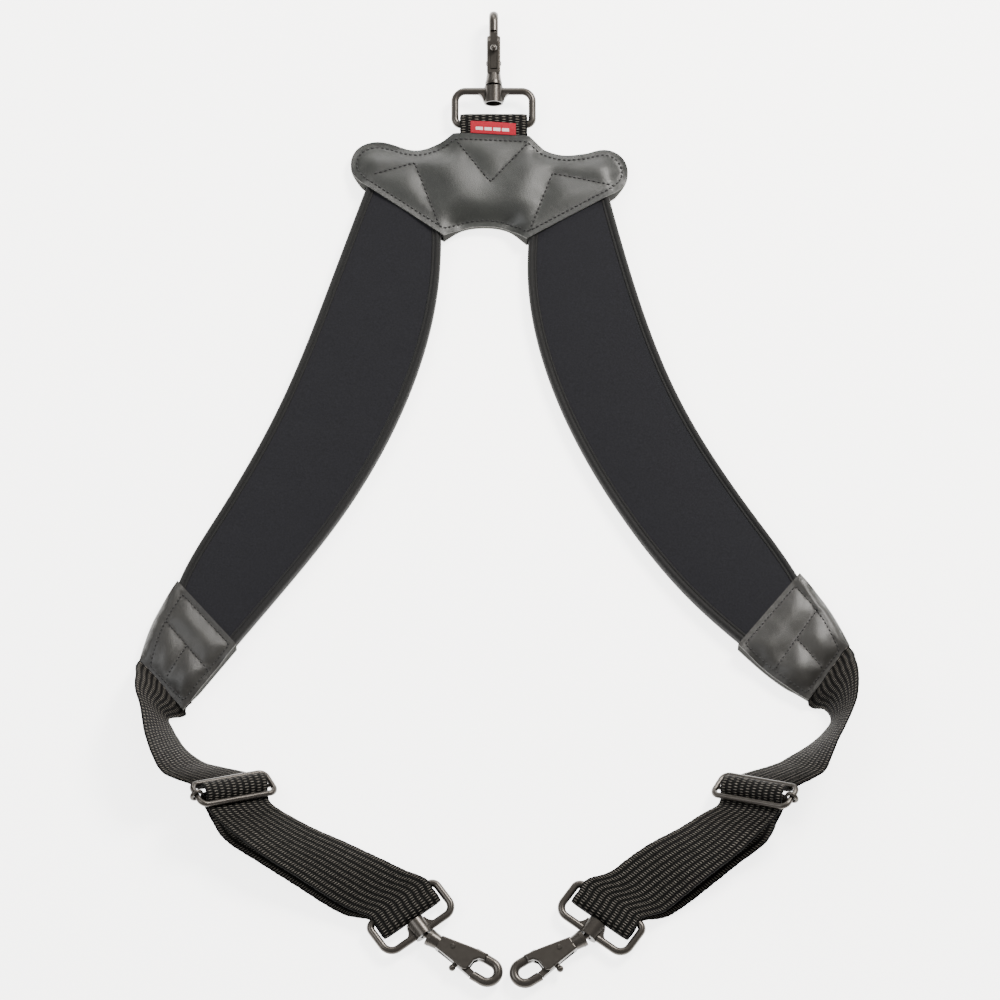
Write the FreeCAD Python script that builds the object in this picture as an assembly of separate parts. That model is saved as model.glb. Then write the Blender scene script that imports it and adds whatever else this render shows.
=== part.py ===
import FreeCAD, Part
import math
import os

# Two-shoulder padded harness with three swivel snap hooks, lying flat on a table.
# Millimetres. X to the right, +Y towards the back hook, +Z up, table at Z = 0.
# The origin is under the middle of the whole harness.

os.makedirs("parts", exist_ok=True)
V = FreeCAD.Vector
UP = V(0, 0, 1)
ORIGIN = V(-1.085, -2.075, 0)   # middle of the finished harness, in the drafting frame

# ---------------------------------------------------------------- driving dimensions
WEB_WIDTH = 38.0          # 1.5 inch webbing
WEB_THICK = 1.6
WEB_STEP = 4.0            # length of one facet of the webbing

PANEL = 1.2               # leather panels
PAD_BASE = PANEL          # pads rest on the back panels
PAD_THICK = 8.0
PAD_SKIN = 1.0            # jersey face and lining
BINDING_WIDTH = 5.5
PAD_TOP = PAD_BASE + PAD_THICK

RING_WIRE = 4.2
RING_WIDTH = 48.0         # outside, along the webbing bar
RING_DEPTH = 24.0         # outside, along the swivel axis
RING_CORNER_FAR = 6.0     # bend radii of the wire's centre line
RING_CORNER_NEAR = 3.6
BOSS_RADIUS = 5.3
BOSS_LENGTH = 9.7
SWIVEL_FACE = RING_DEPTH - RING_WIRE / 2 + 0.4   # webbing bar to the boss's outer face
BOSS_WALL = 2.6           # thickness of the wall that the hook's stem passes
BOSS_HOLE = 2.45
BOSS_CAVITY = 4.4

HOOK_LENGTH = 45.8        # collar face to tip
HOOK_WIDTH = 17.0         # across the loop
HOOK_WIRE = 5.3
HOOK_CHEEKS = 7.7         # thickness of the body
HOOK_SLOT = 3.9           # slot between the cheeks
STEM_RADIUS = 1.6
PIVOT = (14.5, -1.5)      # gate pivot, in the hook's own frame
PIN_RADIUS = 1.1
PIN_CLEARANCE = 0.05
GATE_WIDTH = 3.6
GATE_REACH = 17.9         # pivot to the gate's end
NOSE_GAP = 0.35

SLIDER_LENGTH = 49.4      # outside
SLIDER_DEPTH = 18.8
SLIDER_WIRE = 3.2
SLIDER_BAR = 2.2

BAR_BACK = V(-2.6, 217.7, 6.2)
BACK_TILT = 6.7           # the back ring rises towards its hook, degrees
FRONT_BAR_Z = 5.4
FRONT_LEAN = 22.0         # the front hooks lean this far in their loose swivels
BAR_LEFT = V(-52.6, -243.2, FRONT_BAR_Z)
BAR_RIGHT = V(61.2, -243.8, FRONT_BAR_Z)
RING_HEADING_LEFT = -54.0
RING_HEADING_RIGHT = 234.0


# ---------------------------------------------------------------- helpers
def heading(degrees):
    """Unit vector in the table's plane."""
    a = math.radians(degrees)
    return V(math.cos(a), math.sin(a), 0)


def place(shape, origin, x_dir, y_dir):
    """Moves a shape from its own frame to the given origin and axes."""
    z_dir = x_dir.cross(y_dir)
    turned = shape.copy()
    turned.Placement = FreeCAD.Placement(origin, FreeCAD.Rotation(x_dir, y_dir, z_dir, "XYZ"))
    return turned


def cylinder(radius, start, end):
    axis = end - start
    return Part.makeCylinder(radius, axis.Length, start, axis)


def fused(shapes):
    result = shapes[0]
    for shape in shapes[1:]:
        result = result.fuse(shape)
    return result.removeSplitter()


def slab(edges, low, high):
    """Flat solid between two heights, from the edges of its outline."""
    face = Part.Face(Part.Wire(Part.__sortEdges__(edges)))
    solid = face.extrude(UP * (high - low))
    solid.translate(UP * low)
    return solid


def curve(points):
    """Smooth edge through the points, at Z = 0."""
    spline = Part.BSplineCurve()
    spline.interpolate([V(x, y, 0) for x, y in points])
    return spline


def line(a, b):
    return Part.LineSegment(a, b).toShape()


def polygon(points, thickness):
    """Solid from an outline in its own XY plane, centred on Z = 0."""
    corners = [V(x, y, 0) for x, y in points]
    face = Part.Face(Part.makePolygon(corners + corners[:1]))
    solid = face.extrude(UP * thickness)
    solid.translate(UP * (-thickness / 2))
    return solid


def rounded_rectangle_rod(x0, x1, half, radius_near, radius_far, wire):
    """Closed rod round a rectangle from x0 to x1, with a bend radius at each end."""
    r = wire / 2
    pieces = []
    for x, radius, side in ((x0, radius_near, 1), (x1, radius_far, -1)):
        pieces.append(cylinder(r, V(x, radius - half, 0), V(x, half - radius, 0)))
        for end in (1, -1):
            centre = V(x + side * radius, end * (half - radius), 0)
            circle = Part.Wire(Part.makeCircle(r, centre - V(side * radius, 0, 0), V(0, 1, 0)))
            bend = Part.Face(circle).revolve(centre, V(0, 0, 1), -90.0 * side * end)
            pieces.append(bend)
    for end in (1, -1):
        pieces.append(cylinder(r, V(x0 + radius_near, end * half, 0), V(x1 - radius_far, end * half, 0)))
    return fused(pieces)


def blend_points(before, start, end, after, t):
    """Point on the smooth curve between start and end (Catmull-Rom)."""
    a = (end - before) * 0.5
    b = (after - start) * 0.5
    smooth = start * (2 * t ** 3 - 3 * t ** 2 + 1) + end * (3 * t ** 2 - 2 * t ** 3)
    return smooth + a * (t ** 3 - 2 * t ** 2 + t) + b * (t ** 3 - t ** 2)


def refine(stations):
    """More stations on a smooth line, about WEB_STEP apart."""
    last = len(stations) - 1
    result = []
    for i in range(last):
        four = [stations[max(i - 1, 0)], stations[i], stations[i + 1], stations[min(i + 2, last)]]
        steps = max(1, round((four[2][0] - four[1][0]).Length / WEB_STEP))
        for k in range(steps):
            centre = blend_points(*[s[0] for s in four], k / steps)
            across = blend_points(*[s[1] for s in four], k / steps).normalize()
            result.append((centre, across))
    return result + [stations[last]]


def ribbon(stations):
    """Webbing through stations of (centre, direction across the webbing)."""
    stations = refine(stations)
    sections = []
    last = len(stations) - 1
    for i, (centre, across) in enumerate(stations):
        along = stations[min(i + 1, last)][0] - stations[max(i - 1, 0)][0]
        face_dir = along.cross(across).normalize()
        half = across * (WEB_WIDTH / 2)
        rise = face_dir * (WEB_THICK / 2)
        corners = [centre - half - rise, centre + half - rise, centre + half + rise, centre - half + rise]
        sections.append(Part.makePolygon(corners + corners[:1]))
    return Part.makeLoft(sections, True, True)


def station(x, y, z, outer, roll):
    """Centre of the webbing, heading of its outer edge, and how far that edge is rolled up."""
    a = math.radians(roll)
    return V(x, y, z), heading(outer) * math.cos(a) + UP * math.sin(a)


def fold(bar_radius, slack, straight):
    """Webbing turned round a bar along Y: the fold points to +X, both layers end at -straight."""
    inner = bar_radius
    outer = inner + WEB_THICK
    half = WEB_WIDTH / 2

    def stadium(radius):
        block = Part.makeBox(slack + straight, WEB_WIDTH, 2 * radius, V(-straight, -half, -radius))
        return block.fuse(cylinder(radius, V(slack, -half, 0), V(slack, half, 0)))

    return stadium(outer).cut(stadium(inner)).removeSplitter()


def save(name, shape):
    solids = shape.Solids
    result = solids[0] if len(solids) == 1 else Part.makeCompound(solids)
    result.translate(ORIGIN * -1)
    if not result.isValid():
        print("not valid:", name)
    result.exportStep("parts/%s.step" % name)


# ---------------------------------------------------------------- snap hooks
def make_ring():
    """Rectangular ring with the swivel boss. The webbing bar is on Y, the swivel axis on X."""
    far = RING_DEPTH - RING_WIRE
    half = (RING_WIDTH - RING_WIRE) / 2
    frame = rounded_rectangle_rod(0, far, half, RING_CORNER_NEAR, RING_CORNER_FAR, RING_WIRE)
    face_x = SWIVEL_FACE
    boss = cylinder(BOSS_RADIUS, V(face_x - BOSS_LENGTH, 0, 0), V(face_x, 0, 0))
    foot = [(far, 11.5), (face_x - BOSS_LENGTH + 1.2, 6.0), (face_x - BOSS_LENGTH + 1.2, -6.0), (far, -11.5)]
    gusset = polygon(foot, RING_WIRE * 0.8)
    for side in (1, -1):
        centre = V(face_x - BOSS_LENGTH + 0.6, side * 11.6, 0)
        gusset = gusset.cut(cylinder(5.8, centre - UP * 4, centre + UP * 4))
    ring = fused([frame, boss, gusset])
    wall_x = face_x - BOSS_WALL
    ring = ring.cut(cylinder(BOSS_HOLE, V(wall_x - 1, 0, 0), V(face_x + 1, 0, 0)))
    return ring.cut(cylinder(BOSS_CAVITY, V(face_x - BOSS_LENGTH - 6, 0, 0), V(wall_x, 0, 0)))


def make_hook_body():
    """Collar, cheeks, loop and nose. The collar's face is at X = 0, the tip at +X, the gate at +Y."""
    r = HOOK_WIRE / 2
    rail = HOOK_WIDTH / 2 - r
    bend_x = HOOK_LENGTH - HOOK_WIDTH / 2
    stem = cylinder(STEM_RADIUS, V(-7.0, 0, 0), V(1, 0, 0))
    head = cylinder(2.9, V(-7.2, 0, 0), V(-6.1, 0, 0))
    flange = cylinder(4.8, V(0, 0, 0), V(1.8, 0, 0))
    cone = Part.makeCone(4.6, 3.85, 5.2, V(1.8, 0, 0), V(1, 0, 0))
    neck = cylinder(3.85, V(7.0, 0, 0), V(9.0, 0, 0))

    outline = [(6.5, -3.8), (24.0, -7.0), (33.0, -8.1), (33.0, -4.0), (30.0, -3.4)]
    outline += [(28.2, -1.0), (28.0, 2.0), (27.4, 5.4), (25.0, 6.4), (18.0, 5.3), (6.5, 3.8)]
    cheeks = polygon(outline, HOOK_CHEEKS)
    long_edges = [e for e in cheeks.Edges if abs(e.Vertexes[0].Z - e.Vertexes[1].Z) < 0.01]
    cheeks = cheeks.makeFillet(1.0, long_edges)

    spine = cylinder(r, V(27.0, -rail, 0), V(bend_x, -rail, 0))
    root = Part.makeSphere(r, V(27.0, -rail, 0))
    section = Part.Face(Part.Wire(Part.makeCircle(r, V(bend_x, -rail, 0), V(1, 0, 0))))
    tip = section.revolve(V(bend_x, 0, 0), UP, 180.0)
    nose = cylinder(r, V(bend_x, rail, 0), V(27.0, rail, 0))
    clear = cylinder(GATE_REACH + NOSE_GAP, V(*PIVOT, -6), V(*PIVOT, 6))
    nose = nose.cut(clear)

    body = fused([stem, head, flange, cone, neck, cheeks, spine, root, tip, nose])
    slot_back = Part.makeBox(9.6, 14, HOOK_SLOT, V(8.6, -4.35, -HOOK_SLOT / 2))
    slot_front = Part.makeBox(13.0, 14, HOOK_SLOT, V(18.0, -2.9, -HOOK_SLOT / 2))
    body = body.cut(slot_back).cut(slot_front)
    return body.cut(cylinder(PIN_RADIUS, V(*PIVOT, -6), V(*PIVOT, 6)))


def make_gate():
    """Sprung lever with its thumb knob, closed against the nose."""
    outline = [(9.2, 1.0), (9.4, 3.7), (18.0, 5.1), (25.0, 6.6), (33.0, 8.1), (33.0, 4.3)]
    outline += [(25.0, 2.7), (19.0, 0.6), (16.6, -1.2), (12.4, -1.2)]
    lever = polygon(outline, GATE_WIDTH)
    hub = cylinder(2.6, V(*PIVOT, -GATE_WIDTH / 2), V(*PIVOT, GATE_WIDTH / 2))
    reach = cylinder(GATE_REACH, V(*PIVOT, -6), V(*PIVOT, 6))
    knob = cylinder(1.5, V(20.6, 4.0, 0), V(20.0, 8.2, 0))
    button = Part.makeSphere(1.9, V(20.0, 8.1, 0))
    gate = fused([lever.fuse(hub).common(reach), knob, button])
    hole = PIN_RADIUS + PIN_CLEARANCE
    gate = gate.cut(cylinder(hole, V(*PIVOT, -6), V(*PIVOT, 6)))
    return gate.cut(cylinder(2.75, V(*PIVOT, -0.9), V(*PIVOT, 0.9)))


def make_gate_pin():
    """Rivet through both cheeks, with a domed head at each end."""
    reach = HOOK_CHEEKS / 2
    shank = cylinder(PIN_RADIUS, V(*PIVOT, -reach), V(*PIVOT, reach))
    heads = []
    for side in (1, -1):
        base = V(*PIVOT, side * reach)
        heads.append(Part.makeCone(1.6, 0.9, 0.5, base, UP * side))
    return fused([shank] + heads)


def make_gate_spring():
    """Torsion spring round the rivet, inside the gate's relief, with one leg along the slot."""
    coil = cylinder(1.9, V(*PIVOT, -0.7), V(*PIVOT, 0.7))
    coil = coil.cut(cylinder(PIN_RADIUS + 0.1, V(*PIVOT, -2), V(*PIVOT, 2)))
    leg = cylinder(0.25, V(PIVOT[0], PIVOT[1] - 1.65, 0), V(9.2, PIVOT[1] - 1.65, 0))
    return fused([coil, leg])


def save_hook(name, bar, ring_x, hook_origin, hook_x, gate_dir):
    """One ring and its hook. ring_x points from the webbing bar to the swivel."""
    side = UP.cross(ring_x).normalize()
    save(name + "_ring", place(make_ring(), bar, ring_x, side))
    makers = {"hook_body": make_hook_body, "gate": make_gate}
    makers["gate_pin"] = make_gate_pin
    makers["gate_spring"] = make_gate_spring
    for part, maker in makers.items():
        save("%s_%s" % (name, part), place(maker(), hook_origin, hook_x, gate_dir))


def swivel_centre(bar, ring_x):
    return bar + ring_x * (SWIVEL_FACE - BOSS_WALL / 2)


def front_hook(name, bar, ring_heading, side):
    """side is 1 on the left and -1 on the right; the hook lies flat with its gate outwards."""
    ring_x = heading(ring_heading)
    hook_x = heading(ring_heading + side * FRONT_LEAN)
    collar_gap = 2.0
    origin = swivel_centre(bar, ring_x) + hook_x * (BOSS_WALL / 2 + collar_gap)
    gate_dir = heading(ring_heading + side * (FRONT_LEAN - 90.0))
    save_hook(name, bar, ring_x, origin, hook_x, gate_dir)


def back_hook():
    """The back hook stands on its spine with the gate up."""
    tilt = math.radians(BACK_TILT)
    ring_x = V(0, math.cos(tilt), math.sin(tilt))
    hook_x = V(0, 1, 0)
    collar_gap = 1.0
    origin = swivel_centre(BAR_BACK, ring_x) + hook_x * (BOSS_WALL / 2 + collar_gap)
    save_hook("back", BAR_BACK, ring_x, origin, hook_x, UP)


# ---------------------------------------------------------------- yoke
def yoke_edges(across=1.0, along=1.0):
    """Outline: straight top, two ears, straight lower sides and an arched neck.

    across and along shrink it about the yoke's middle.
    """
    middle = V(-5.0, 180.0, 0)

    def at(x, y):
        return middle.x + (x - middle.x) * across, middle.y + (y - middle.y) * along

    left_ear = [(-25.5, 211.0), (-36.0, 205.0), (-47.0, 201.8), (-58.0, 205.0), (-69.0, 207.2)]
    left_ear += [(-80.0, 202.5), (-83.2, 191.0), (-77.0, 180.5)]
    right_ear = [(17.5, 209.0), (27.0, 201.5), (38.0, 197.8), (50.0, 200.0), (61.0, 202.3)]
    right_ear += [(70.5, 197.0), (72.6, 184.0), (66.0, 174.5)]
    left_ear = [at(x, y) for x, y in left_ear]
    right_ear = [at(x, y) for x, y in right_ear]
    left_tip = V(*at(-30.5, 148.0), 0)
    right_tip = V(*at(16.0, 146.0), 0)
    arch = V(*at(-7.6, 155.2), 0)
    edges = [curve(left_ear).toShape(), curve(right_ear).toShape()]
    edges.append(line(V(*left_ear[0], 0), V(*right_ear[0], 0)))
    edges.append(line(V(*left_ear[-1], 0), left_tip))
    edges.append(line(V(*right_ear[-1], 0), right_tip))
    edges.append(Part.Arc(left_tip, arch, right_tip).toShape())
    return edges


def make_back_web():
    """Webbing folded round the back ring's bar and sewn into the yoke."""
    tilt = math.radians(BACK_TILT)
    ahead = V(0, math.cos(tilt), math.sin(tilt))
    straight = 2.5
    loop = place(fold(RING_WIRE / 2 + 0.2, 2.5, straight), BAR_BACK, ahead, V(-1, 0, 0))
    normal = V(0, -math.sin(tilt), math.cos(tilt))
    offset = RING_WIRE / 2 + 0.2 + WEB_THICK / 2
    across = V(-1, 0, 0)
    pieces = [loop]
    for side, z in ((1, 6.9), (-1, 5.2)):
        start = BAR_BACK - ahead * straight + normal * (side * offset)
        path = [start, start - ahead * 1.5, V(BAR_BACK.x, 207.0, z), V(BAR_BACK.x, 203.0, z)]
        path.append(V(BAR_BACK.x, 192.0, z))
        pieces.append(ribbon([(p, across) for p in path]))
    return fused(pieces)


def make_tag():
    """Folded woven tag sewn to the webbing above the yoke's edge."""
    plate = Part.makeBox(26.0, 9.4, 0.6, V(-13.0, -4.7, -0.3))
    return place(plate, V(-2.8, 215.6, 11.0), V(1, 0, 0), V(0, 0.99, 0.13).normalize())


def save_yoke(pad_envelopes, back_web, tag):
    outline = yoke_edges()
    save("yoke_back_panel", slab(outline, 0, PANEL))
    save("yoke_top_panel", slab(outline, PAD_TOP, PAD_TOP + PANEL))
    filling = slab(yoke_edges(0.95, 0.9), PAD_BASE, PAD_TOP)
    pocket = Part.makeBox(WEB_WIDTH + 0.8, 30.0, 6.0, V(BAR_BACK.x - WEB_WIDTH / 2 - 0.4, 191.5, 3.8))
    filling = filling.cut(pocket)
    for envelope in pad_envelopes:
        filling = filling.cut(envelope)
    save("yoke_padding", filling)
    save("back_web_loop", back_web)
    save("woven_tag", tag)


# ---------------------------------------------------------------- shoulder pads
def inset_curve(spline, distance):
    """The same curve moved sideways in the table's plane."""
    first = spline.FirstParameter
    span = spline.LastParameter - first
    count = 12
    points = []
    for i in range(count + 1):
        u = first + span * i / count
        normal = UP.cross(spline.tangent(u)[0])
        moved = spline.value(u) + normal * distance
        points.append((moved.x, moved.y))
    return curve(points)


def band(side_a, side_b, low, high):
    """Solid between two curves that run the same way."""
    a0 = side_a.value(side_a.FirstParameter)
    a1 = side_a.value(side_a.LastParameter)
    b0 = side_b.value(side_b.FirstParameter)
    b1 = side_b.value(side_b.LastParameter)
    return slab([side_a.toShape(), side_b.toShape(), line(a0, b0), line(a1, b1)], low, high)


def save_pad(name, outer_points, inner_points, side):
    """side is 1 on the left, where the outer edge is to the right of the way down."""
    outer = curve(outer_points)
    inner = curve(inner_points)
    outer_in = inset_curve(outer, side * BINDING_WIDTH)
    inner_in = inset_curve(inner, -side * BINDING_WIDTH)
    core_top = PAD_TOP - PAD_SKIN
    core_low = PAD_BASE + PAD_SKIN
    save(name + "_pad_lining", band(outer_in, inner_in, PAD_BASE, core_low))
    save(name + "_pad_core", band(outer_in, inner_in, core_low, core_top))
    save(name + "_pad_face", band(outer_in, inner_in, core_top, PAD_TOP))
    strips = [band(outer, outer_in, PAD_BASE, PAD_TOP), band(inner, inner_in, PAD_BASE, PAD_TOP)]
    save(name + "_pad_binding", Part.makeCompound(strips))
    return band(inset_curve(outer, -side * 0.3), inset_curve(inner, side * 0.3), 0, PAD_TOP + 1)


def save_cap(name, outer_points, inner_points):
    """Leather end cap: outer and inner edges, joined by two straight edges."""
    for part, low, high in (("back", 0, PANEL), ("top", PAD_TOP, PAD_TOP + PANEL)):
        shape = band(curve(outer_points), curve(inner_points), low, high)
        save("%s_cap_%s" % (name, part), shape)


# ---------------------------------------------------------------- adjusters and webbing
class Slider:
    """Frame of the adjuster: long axis across the webbing, depth along it, normal up."""

    def __init__(self, centre, outer, roll, front, pitch):
        self.centre = centre
        self.across = station(0, 0, 0, outer, roll)[1]
        flat = heading(front)
        up = self.across.cross(flat)
        if up.z < 0:
            up = up * -1
        a = math.radians(pitch)
        self.depth = flat * math.cos(a) + up * math.sin(a)
        self.normal = up * math.cos(a) - flat * math.sin(a)

    def point(self, depth, rise):
        return self.centre + self.depth * depth + self.normal * rise

    def put(self, shape):
        return place(shape, self.centre, self.depth, self.normal.cross(self.depth))

    def outer_side(self):
        """1 where the outer end is at +Y in the frame's own axes, or -1."""
        return 1 if self.normal.cross(self.depth).dot(self.across) > 0 else -1


def make_slider_bar(outer_side):
    """Centre bar: its outer end is curled round the frame's side wire, the other lies under the wire."""
    half = (SLIDER_LENGTH - SLIDER_WIRE) / 2
    r = SLIDER_BAR / 2
    curl = SLIDER_WIRE / 2 + 0.15 + r
    start = V(0, outer_side * half, -curl)
    bar = cylinder(r, V(0, -outer_side * (half + 1.0), -curl), start)
    circle = Part.Wire(Part.makeCircle(r, start, V(0, 1, 0)))
    eye = Part.Face(circle).revolve(V(0, outer_side * half, 0), V(outer_side, 0, 0), 245.0)
    return fused([bar, eye])


def save_adjuster(name, slider, upper_stations, lower_stations):
    """Slider frame, its bar, and the webbing that moves with them."""
    half = (SLIDER_LENGTH - SLIDER_WIRE) / 2
    reach = (SLIDER_DEPTH - SLIDER_WIRE) / 2
    frame = rounded_rectangle_rod(-reach, reach, half, 4.0, 4.0, SLIDER_WIRE)
    save(name + "_slider_frame", slider.put(frame))
    save(name + "_slider_bar", slider.put(make_slider_bar(slider.outer_side())))

    under = -(SLIDER_WIRE + WEB_THICK) / 2 - 0.6
    bar_low = -(SLIDER_WIRE / 2 + 0.15 + SLIDER_BAR / 2)
    wrap = SLIDER_BAR / 2 + 0.15
    hump = bar_low + wrap + WEB_THICK * 1.5 + 0.25
    path = [(-10.2, under - 0.2), (-reach, under), (-3.4, hump - 1.2), (0, hump), (3.4, hump - 1.2)]
    path += [(reach, under), (12.0, under - 0.6)]
    stations = [(slider.point(d, n), slider.across) for d, n in path] + upper_stations
    save(name + "_web_upper_run", ribbon(stations))

    low = bar_low - wrap - WEB_THICK / 2 - 0.3
    path = [(0, low), (4.0, low), (reach, low - 0.6), (12.5, low - 1.2)]
    stations = [(slider.point(d, n), slider.across) for d, n in path] + lower_stations
    half_web = WEB_WIDTH / 2
    outer = cylinder(wrap + WEB_THICK, V(0, -half_web, bar_low), V(0, half_web, bar_low))
    eye = outer.cut(cylinder(wrap, V(0, -half_web - 1, bar_low), V(0, half_web + 1, bar_low)))
    save(name + "_web_lower_run", fused([ribbon(stations), slider.put(eye)]))


def save_ring_loop(name, bar, ring_heading, upper_stations, lower_stations):
    """Webbing round the front ring's bar: a slack fold and both layers running back."""
    ahead = heading(ring_heading)
    across = UP.cross(ahead)
    if across.dot(upper_stations[0][1]) < 0:
        across = across * -1
    straight = 3.0
    radius = RING_WIRE / 2 + 0.2
    pieces = [place(fold(radius, 8.0, straight), bar, ahead, UP.cross(ahead))]
    rise = UP * (radius + WEB_THICK / 2)
    for level, stations in ((1, upper_stations), (-1, lower_stations)):
        start = bar - ahead * straight + rise * level
        pieces.append(ribbon([(start, across), (start - ahead * 1.5, across)] + stations))
    save(name + "_web_ring_loop", fused(pieces))


# ---------------------------------------------------------------- the two sides
def left_side():
    outer = [(-70.0, 192.0), (-93.5, 123.0), (-120.0, 50.5), (-156.5, -21.0), (-176.5, -60.0), (-185.0, -96.5)]
    inner = [(-34.0, 190.0), (-33.0, 123.0), (-50.5, 50.5), (-87.5, -21.0), (-121.5, -67.0), (-163.5, -120.0)]
    envelope = save_pad("left", outer, inner, 1)
    cap_outer = [(-176.5, -59.0), (-190.0, -82.5), (-197.0, -105.0)]
    cap_inner = [(-143.5, -96.0), (-158.0, -114.5), (-172.0, -132.5)]
    save_cap("left", cap_outer, cap_inner)
    fixed = [station(-181.5, -115.8, 5.2, 133, 0), station(-184.6, -119.3, 5.6, 135, 4)]
    fixed += [station(-184.4, -126.4, 12.6, 146, 38), station(-188.4, -133.5, 18.1, 160, 62)]
    fixed += [station(-187.0, -141.5, 18.6, 178, 66), station(-186.0, -151.0, 18.1, 202, 62)]
    fixed += [station(-181.0, -160.3, 17.3, 213, 56), station(-172.5, -168.0, 15.7, 211, 47)]
    fixed += [station(-163.5, -171.3, 14.8, 205, 40)]
    save("left_web_fixed_run", ribbon(fixed))
    slider = Slider(V(-143.5, -181.5, 16.6), 200, 26, -70, 20)
    upper = [station(-130.5, -199.3, 12.8, 203, 16), station(-113.2, -210.8, 11.0, 213, 7)]
    upper += [station(-96.0, -221.0, 10.6, 218, 0), station(-70.0, -235.8, 10.6, 218, 0)]
    lower = [station(-131.5, -202.0, 7.4, 205, 15), station(-114.0, -213.5, 4.9, 214, 4)]
    lower += [station(-96.0, -224.5, 4.3, 218, 0), station(-76.0, -235.0, 4.3, 218, 0)]
    save_adjuster("left", slider, upper, lower)
    high = [station(-65.0, -237.5, 8.5, 217, 0), station(-78.0, -231.3, 8.5, 218, 0)]
    high += [station(-88.0, -225.5, 8.5, 218, 0)]
    low = [station(-66.0, -238.5, 2.2, 217, 0), station(-80.0, -232.8, 2.0, 218, 0)]
    low += [station(-97.0, -223.5, 1.7, 218, 0)]
    save_ring_loop("left", BAR_LEFT, RING_HEADING_LEFT, high, low)
    front_hook("left", BAR_LEFT, RING_HEADING_LEFT, 1)
    return envelope


def right_side():
    outer = [(58.5, 190.0), (75.5, 123.0), (101.0, 50.5), (143.0, -21.0), (166.0, -57.0), (180.0, -88.5)]
    inner = [(22.0, 188.0), (16.5, 123.0), (32.5, 50.5), (69.5, -21.0), (106.0, -68.5), (158.5, -115.5)]
    envelope = save_pad("right", outer, inner, -1)
    cap_outer = [(166.0, -54.5), (182.0, -74.5), (193.0, -95.5)]
    cap_inner = [(131.5, -96.0), (150.0, -113.5), (169.5, -127.0)]
    save_cap("right", cap_outer, cap_inner)
    fixed = [station(178.6, -109.2, 5.2, 53, 0), station(181.6, -112.4, 5.6, 51, 4)]
    fixed += [station(183.0, -119.5, 12.0, 42, 34), station(187.2, -127.0, 17.6, 26, 60)]
    fixed += [station(189.0, -137.0, 19.4, 6, 71), station(185.5, -147.3, 19.1, -20, 70)]
    fixed += [station(180.3, -155.8, 18.3, -31, 64), station(173.0, -163.5, 16.8, -33, 53)]
    fixed += [station(163.0, -169.5, 15.6, -27, 44)]
    save("right_web_fixed_run", ribbon(fixed))
    slider = Slider(V(139.2, -182.8, 16.6), -20, 26, -110, 20)
    upper = [station(126.5, -199.8, 12.8, -23, 16), station(114.0, -209.8, 11.0, -33, 7)]
    upper += [station(99.0, -221.3, 10.6, -38, 0), station(78.5, -235.5, 10.6, -38, 0)]
    lower = [station(129.0, -203.0, 7.4, -25, 15), station(115.0, -213.0, 4.9, -34, 4)]
    lower += [station(99.0, -224.5, 4.3, -38, 0), station(83.5, -235.0, 4.3, -38, 0)]
    save_adjuster("right", slider, upper, lower)
    high = [station(74.0, -238.0, 8.5, -37, 0), station(86.0, -230.8, 8.5, -38, 0)]
    high += [station(94.0, -225.5, 8.5, -38, 0)]
    low = [station(75.0, -239.0, 2.2, -37, 0), station(88.0, -232.5, 2.0, -38, 0)]
    low += [station(104.0, -222.0, 1.7, -38, 0)]
    save_ring_loop("right", BAR_RIGHT, RING_HEADING_RIGHT, high, low)
    front_hook("right", BAR_RIGHT, RING_HEADING_RIGHT, -1)
    return envelope


envelopes = [left_side(), right_side()]
save_yoke(envelopes, make_back_web(), make_tag())
back_hook()
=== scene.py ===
import math
import bpy
import numpy as np
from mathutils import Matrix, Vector
from mathutils.bvhtree import BVHTree
from mathutils.geometry import delaunay_2d_cdt


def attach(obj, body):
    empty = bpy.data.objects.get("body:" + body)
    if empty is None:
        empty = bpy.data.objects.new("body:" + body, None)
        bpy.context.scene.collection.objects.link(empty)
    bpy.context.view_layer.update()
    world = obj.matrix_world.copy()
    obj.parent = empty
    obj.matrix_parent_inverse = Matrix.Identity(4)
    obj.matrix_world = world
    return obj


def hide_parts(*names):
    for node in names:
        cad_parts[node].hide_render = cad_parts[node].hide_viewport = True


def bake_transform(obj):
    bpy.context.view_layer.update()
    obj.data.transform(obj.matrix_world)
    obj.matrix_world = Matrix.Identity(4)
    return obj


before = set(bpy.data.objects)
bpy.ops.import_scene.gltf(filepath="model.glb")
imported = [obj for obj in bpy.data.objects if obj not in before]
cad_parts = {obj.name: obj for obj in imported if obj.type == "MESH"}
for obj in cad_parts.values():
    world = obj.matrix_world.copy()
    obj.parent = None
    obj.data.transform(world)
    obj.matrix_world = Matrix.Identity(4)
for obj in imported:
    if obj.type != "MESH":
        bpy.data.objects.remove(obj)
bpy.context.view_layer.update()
scene = bpy.context.scene

MM = 0.001
SHIFT = np.array([1.085, 2.075, 0.0])      # drafting frame to row frame, mm
HARNESS = "harness"

# Sizes in mm.
PAD_BASE = 1.3                            # lower face of the pads above the table
PAD_RISE = 7.05                           # from there to the pads' upper face at their edges
PAD_CROWN = 0.6
BINDING = 5.5                             # width of the pads' edge binding
PANEL = 1.5                               # thickness of the yoke's and the caps' top panels
LINING = 1.25                             # thickness of their back panels
CUT_EDGE = 0.9                            # height of a panel's light cut edge
WEB_WIDTH = 38.0
RING_WEB_WIDTH = 37.0                     # a little narrower, to clear the front rings when they swing
WEAVE_RIBS = 10.0                         # ribs across the webbing
WEAVE_PITCH = 1.45                        # from one float of the weave to the next, along the webbing
FOLD_RADIUS = 3.1                         # of the webbing's middle, round a ring's bar

FLOOR_GLOW = 3.6
LENS_MM = 227.2
CAMERA_TARGET = (0.002085, -0.005525, 0)  # m
CAMERA_DISTANCE = 3.5                     # m
CAMERA_ELEVATION = 69                     # degrees above the table
UP = np.array([0.0, 0.0, 1.0])


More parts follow.
